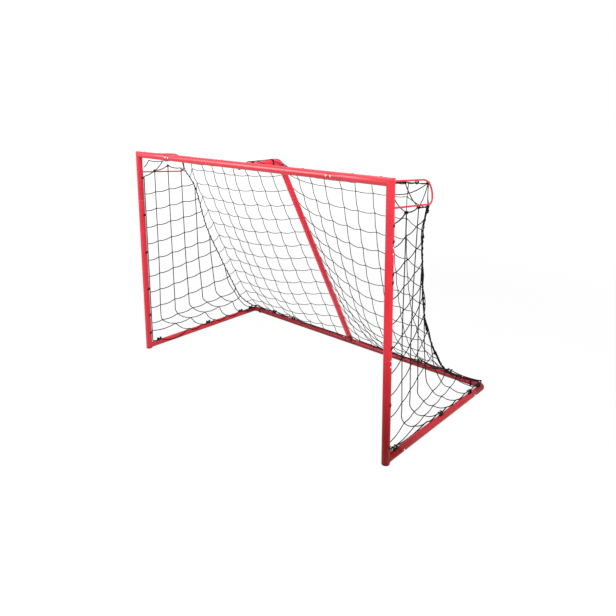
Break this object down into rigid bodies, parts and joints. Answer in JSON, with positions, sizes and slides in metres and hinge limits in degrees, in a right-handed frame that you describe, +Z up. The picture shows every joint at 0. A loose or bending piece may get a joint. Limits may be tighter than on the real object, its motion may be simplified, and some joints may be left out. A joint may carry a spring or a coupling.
{
  "type": "soccer goal",
  "caption": "Backyard soccer goal: a round-tube frame that slips together with snap buttons, a sloping centre stay, wire net hoops and a knotted square-mesh net.",
  "frame": {"origin": "on the ground, at the middle of the bounding box", "axes": "+X along the crossbar to the right as a player faces the mouth, +Y from the mouth to the back, +Z up"},
  "size_m": [1.836, 0.918, 1.2202],
  "materials": {
    "red_powder_coat": "satin red powder coat",
    "zinc_plated_steel": "bright zinc plate",
    "bright_button_steel": "bright plated steel",
    "black_plastic": "moulded, lightly textured",
    "black_twine": "knotted polyethylene twine"
  },
  "bodies": {
    "frame": {"crossbar": "red_powder_coat", "back_tee": "red_powder_coat", "centre_stay": "red_powder_coat", "top_corner_left": "red_powder_coat", "post_left": "red_powder_coat", "post_foot_left": "red_powder_coat", "side_bar_left": "red_powder_coat", "back_corner_left": "red_powder_coat", "back_bar_left": "red_powder_coat", "net_hoop_left": "red_powder_coat", "post_cap_left": "black_plastic", "crossbar_left_coupler": "zinc_plated_steel", "post_upper_left_coupler": "zinc_plated_steel", "post_lower_left_coupler": "zinc_plated_steel", "net_hook_left_1": "black_plastic", "net_hook_left_2": "black_plastic", "net_hook_left_3": "black_plastic", "net_hook_left_4": "black_plastic", "net_hook_back_left_1": "black_plastic", "net_hook_back_left_2": "black_plastic", "net_left": "black_twine", "top_corner_right": "red_powder_coat", "post_right": "red_powder_coat", "post_foot_right": "red_powder_coat", "side_bar_right": "red_powder_coat", "back_corner_right": "red_powder_coat", "back_bar_right": "red_powder_coat", "net_hoop_right": "red_powder_coat", "post_cap_right": "black_plastic", "crossbar_right_coupler": "zinc_plated_steel", "post_upper_right_coupler": "zinc_plated_steel", "post_lower_right_coupler": "zinc_plated_steel", "net_hook_right_1": "black_plastic", "net_hook_right_2": "black_plastic", "net_hook_right_3": "black_plastic", "net_hook_right_4": "black_plastic", "net_hook_back_right_1": "black_plastic", "net_hook_back_right_2": "black_plastic", "net_right": "black_twine", "net_back": "black_twine"},
    "crossbar_left_button_outer": {"crossbar_left_button_outer": "bright_button_steel"},
    "post_upper_left_button_outer": {"post_upper_left_button_outer": "bright_button_steel"},
    "post_lower_left_button_outer": {"post_lower_left_button_outer": "bright_button_steel"},
    "crossbar_left_button_inner": {"crossbar_left_button_inner": "bright_button_steel"},
    "post_upper_left_button_inner": {"post_upper_left_button_inner": "bright_button_steel"},
    "post_lower_left_button_inner": {"post_lower_left_button_inner": "bright_button_steel"},
    "side_front_button_left": {"side_front_button_left": "bright_button_steel"},
    "side_back_button_left": {"side_back_button_left": "bright_button_steel"},
    "back_corner_button_left": {"back_corner_button_left": "bright_button_steel"},
    "back_tee_button_left": {"back_tee_button_left": "bright_button_steel"},
    "crossbar_right_button_outer": {"crossbar_right_button_outer": "bright_button_steel"},
    "post_upper_right_button_outer": {"post_upper_right_button_outer": "bright_button_steel"},
    "post_lower_right_button_outer": {"post_lower_right_button_outer": "bright_button_steel"},
    "crossbar_right_button_inner": {"crossbar_right_button_inner": "bright_button_steel"},
    "post_upper_right_button_inner": {"post_upper_right_button_inner": "bright_button_steel"},
    "post_lower_right_button_inner": {"post_lower_right_button_inner": "bright_button_steel"},
    "side_front_button_right": {"side_front_button_right": "bright_button_steel"},
    "side_back_button_right": {"side_back_button_right": "bright_button_steel"},
    "back_corner_button_right": {"back_corner_button_right": "bright_button_steel"},
    "back_tee_button_right": {"back_tee_button_right": "bright_button_steel"}
  },
  "joints": [
    {"name": "crossbar_left_button_outer_press", "type": "slide", "parent": "frame", "child": "crossbar_left_button_outer", "axis": [0, -1, 0], "range_m": [-0.0034, 0], "stiffness_N_per_m": 3000, "springref_m": 0.002},
    {"name": "post_upper_left_button_outer_press", "type": "slide", "parent": "frame", "child": "post_upper_left_button_outer", "axis": [-1, 0, 0], "range_m": [-0.0034, 0], "stiffness_N_per_m": 3000, "springref_m": 0.002},
    {"name": "post_lower_left_button_outer_press", "type": "slide", "parent": "frame", "child": "post_lower_left_button_outer", "axis": [-1, 0, 0], "range_m": [-0.0034, 0], "stiffness_N_per_m": 3000, "springref_m": 0.002},
    {"name": "crossbar_left_button_inner_press", "type": "slide", "parent": "frame", "child": "crossbar_left_button_inner", "axis": [0, -1, 0], "range_m": [-0.0034, 0], "stiffness_N_per_m": 3000, "springref_m": 0.002},
    {"name": "post_upper_left_button_inner_press", "type": "slide", "parent": "frame", "child": "post_upper_left_button_inner", "axis": [-1, 0, 0], "range_m": [-0.0034, 0], "stiffness_N_per_m": 3000, "springref_m": 0.002},
    {"name": "post_lower_left_button_inner_press", "type": "slide", "parent": "frame", "child": "post_lower_left_button_inner", "axis": [-1, 0, 0], "range_m": [-0.0034, 0], "stiffness_N_per_m": 3000, "springref_m": 0.002},
    {"name": "side_front_button_left_press", "type": "slide", "parent": "frame", "child": "side_front_button_left", "axis": [-1, 0, 0], "range_m": [-0.0034, 0], "stiffness_N_per_m": 3000, "springref_m": 0.002},
    {"name": "side_back_button_left_press", "type": "slide", "parent": "frame", "child": "side_back_button_left", "axis": [-1, 0, 0], "range_m": [-0.0034, 0], "stiffness_N_per_m": 3000, "springref_m": 0.002},
    {"name": "back_corner_button_left_press", "type": "slide", "parent": "frame", "child": "back_corner_button_left", "axis": [0, 0, 1], "range_m": [-0.0034, 0], "stiffness_N_per_m": 3000, "springref_m": 0.002},
    {"name": "back_tee_button_left_press", "type": "slide", "parent": "frame", "child": "back_tee_button_left", "axis": [0, 0, 1], "range_m": [-0.0034, 0], "stiffness_N_per_m": 3000, "springref_m": 0.002},
    {"name": "crossbar_right_button_outer_press", "type": "slide", "parent": "frame", "child": "crossbar_right_button_outer", "axis": [0, -1, 0], "range_m": [-0.0034, 0], "stiffness_N_per_m": 3000, "springref_m": 0.002},
    {"name": "post_upper_right_button_outer_press", "type": "slide", "parent": "frame", "child": "post_upper_right_button_outer", "axis": [1, 0, 0], "range_m": [-0.0034, 0], "stiffness_N_per_m": 3000, "springref_m": 0.002},
    {"name": "post_lower_right_button_outer_press", "type": "slide", "parent": "frame", "child": "post_lower_right_button_outer", "axis": [1, 0, 0], "range_m": [-0.0034, 0], "stiffness_N_per_m": 3000, "springref_m": 0.002},
    {"name": "crossbar_right_button_inner_press", "type": "slide", "parent": "frame", "child": "crossbar_right_button_inner", "axis": [0, -1, 0], "range_m": [-0.0034, 0], "stiffness_N_per_m": 3000, "springref_m": 0.002},
    {"name": "post_upper_right_button_inner_press", "type": "slide", "parent": "frame", "child": "post_upper_right_button_inner", "axis": [1, 0, 0], "range_m": [-0.0034, 0], "stiffness_N_per_m": 3000, "springref_m": 0.002},
    {"name": "post_lower_right_button_inner_press", "type": "slide", "parent": "frame", "child": "post_lower_right_button_inner", "axis": [1, 0, 0], "range_m": [-0.0034, 0], "stiffness_N_per_m": 3000, "springref_m": 0.002},
    {"name": "side_front_button_right_press", "type": "slide", "parent": "frame", "child": "side_front_button_right", "axis": [1, 0, 0], "range_m": [-0.0034, 0], "stiffness_N_per_m": 3000, "springref_m": 0.002},
    {"name": "side_back_button_right_press", "type": "slide", "parent": "frame", "child": "side_back_button_right", "axis": [1, 0, 0], "range_m": [-0.0034, 0], "stiffness_N_per_m": 3000, "springref_m": 0.002},
    {"name": "back_corner_button_right_press", "type": "slide", "parent": "frame", "child": "back_corner_button_right", "axis": [0, 0, 1], "range_m": [-0.0034, 0], "stiffness_N_per_m": 3000, "springref_m": 0.002},
    {"name": "back_tee_button_right_press", "type": "slide", "parent": "frame", "child": "back_tee_button_right", "axis": [0, 0, 1], "range_m": [-0.0034, 0], "stiffness_N_per_m": 3000, "springref_m": 0.002}
  ]
}
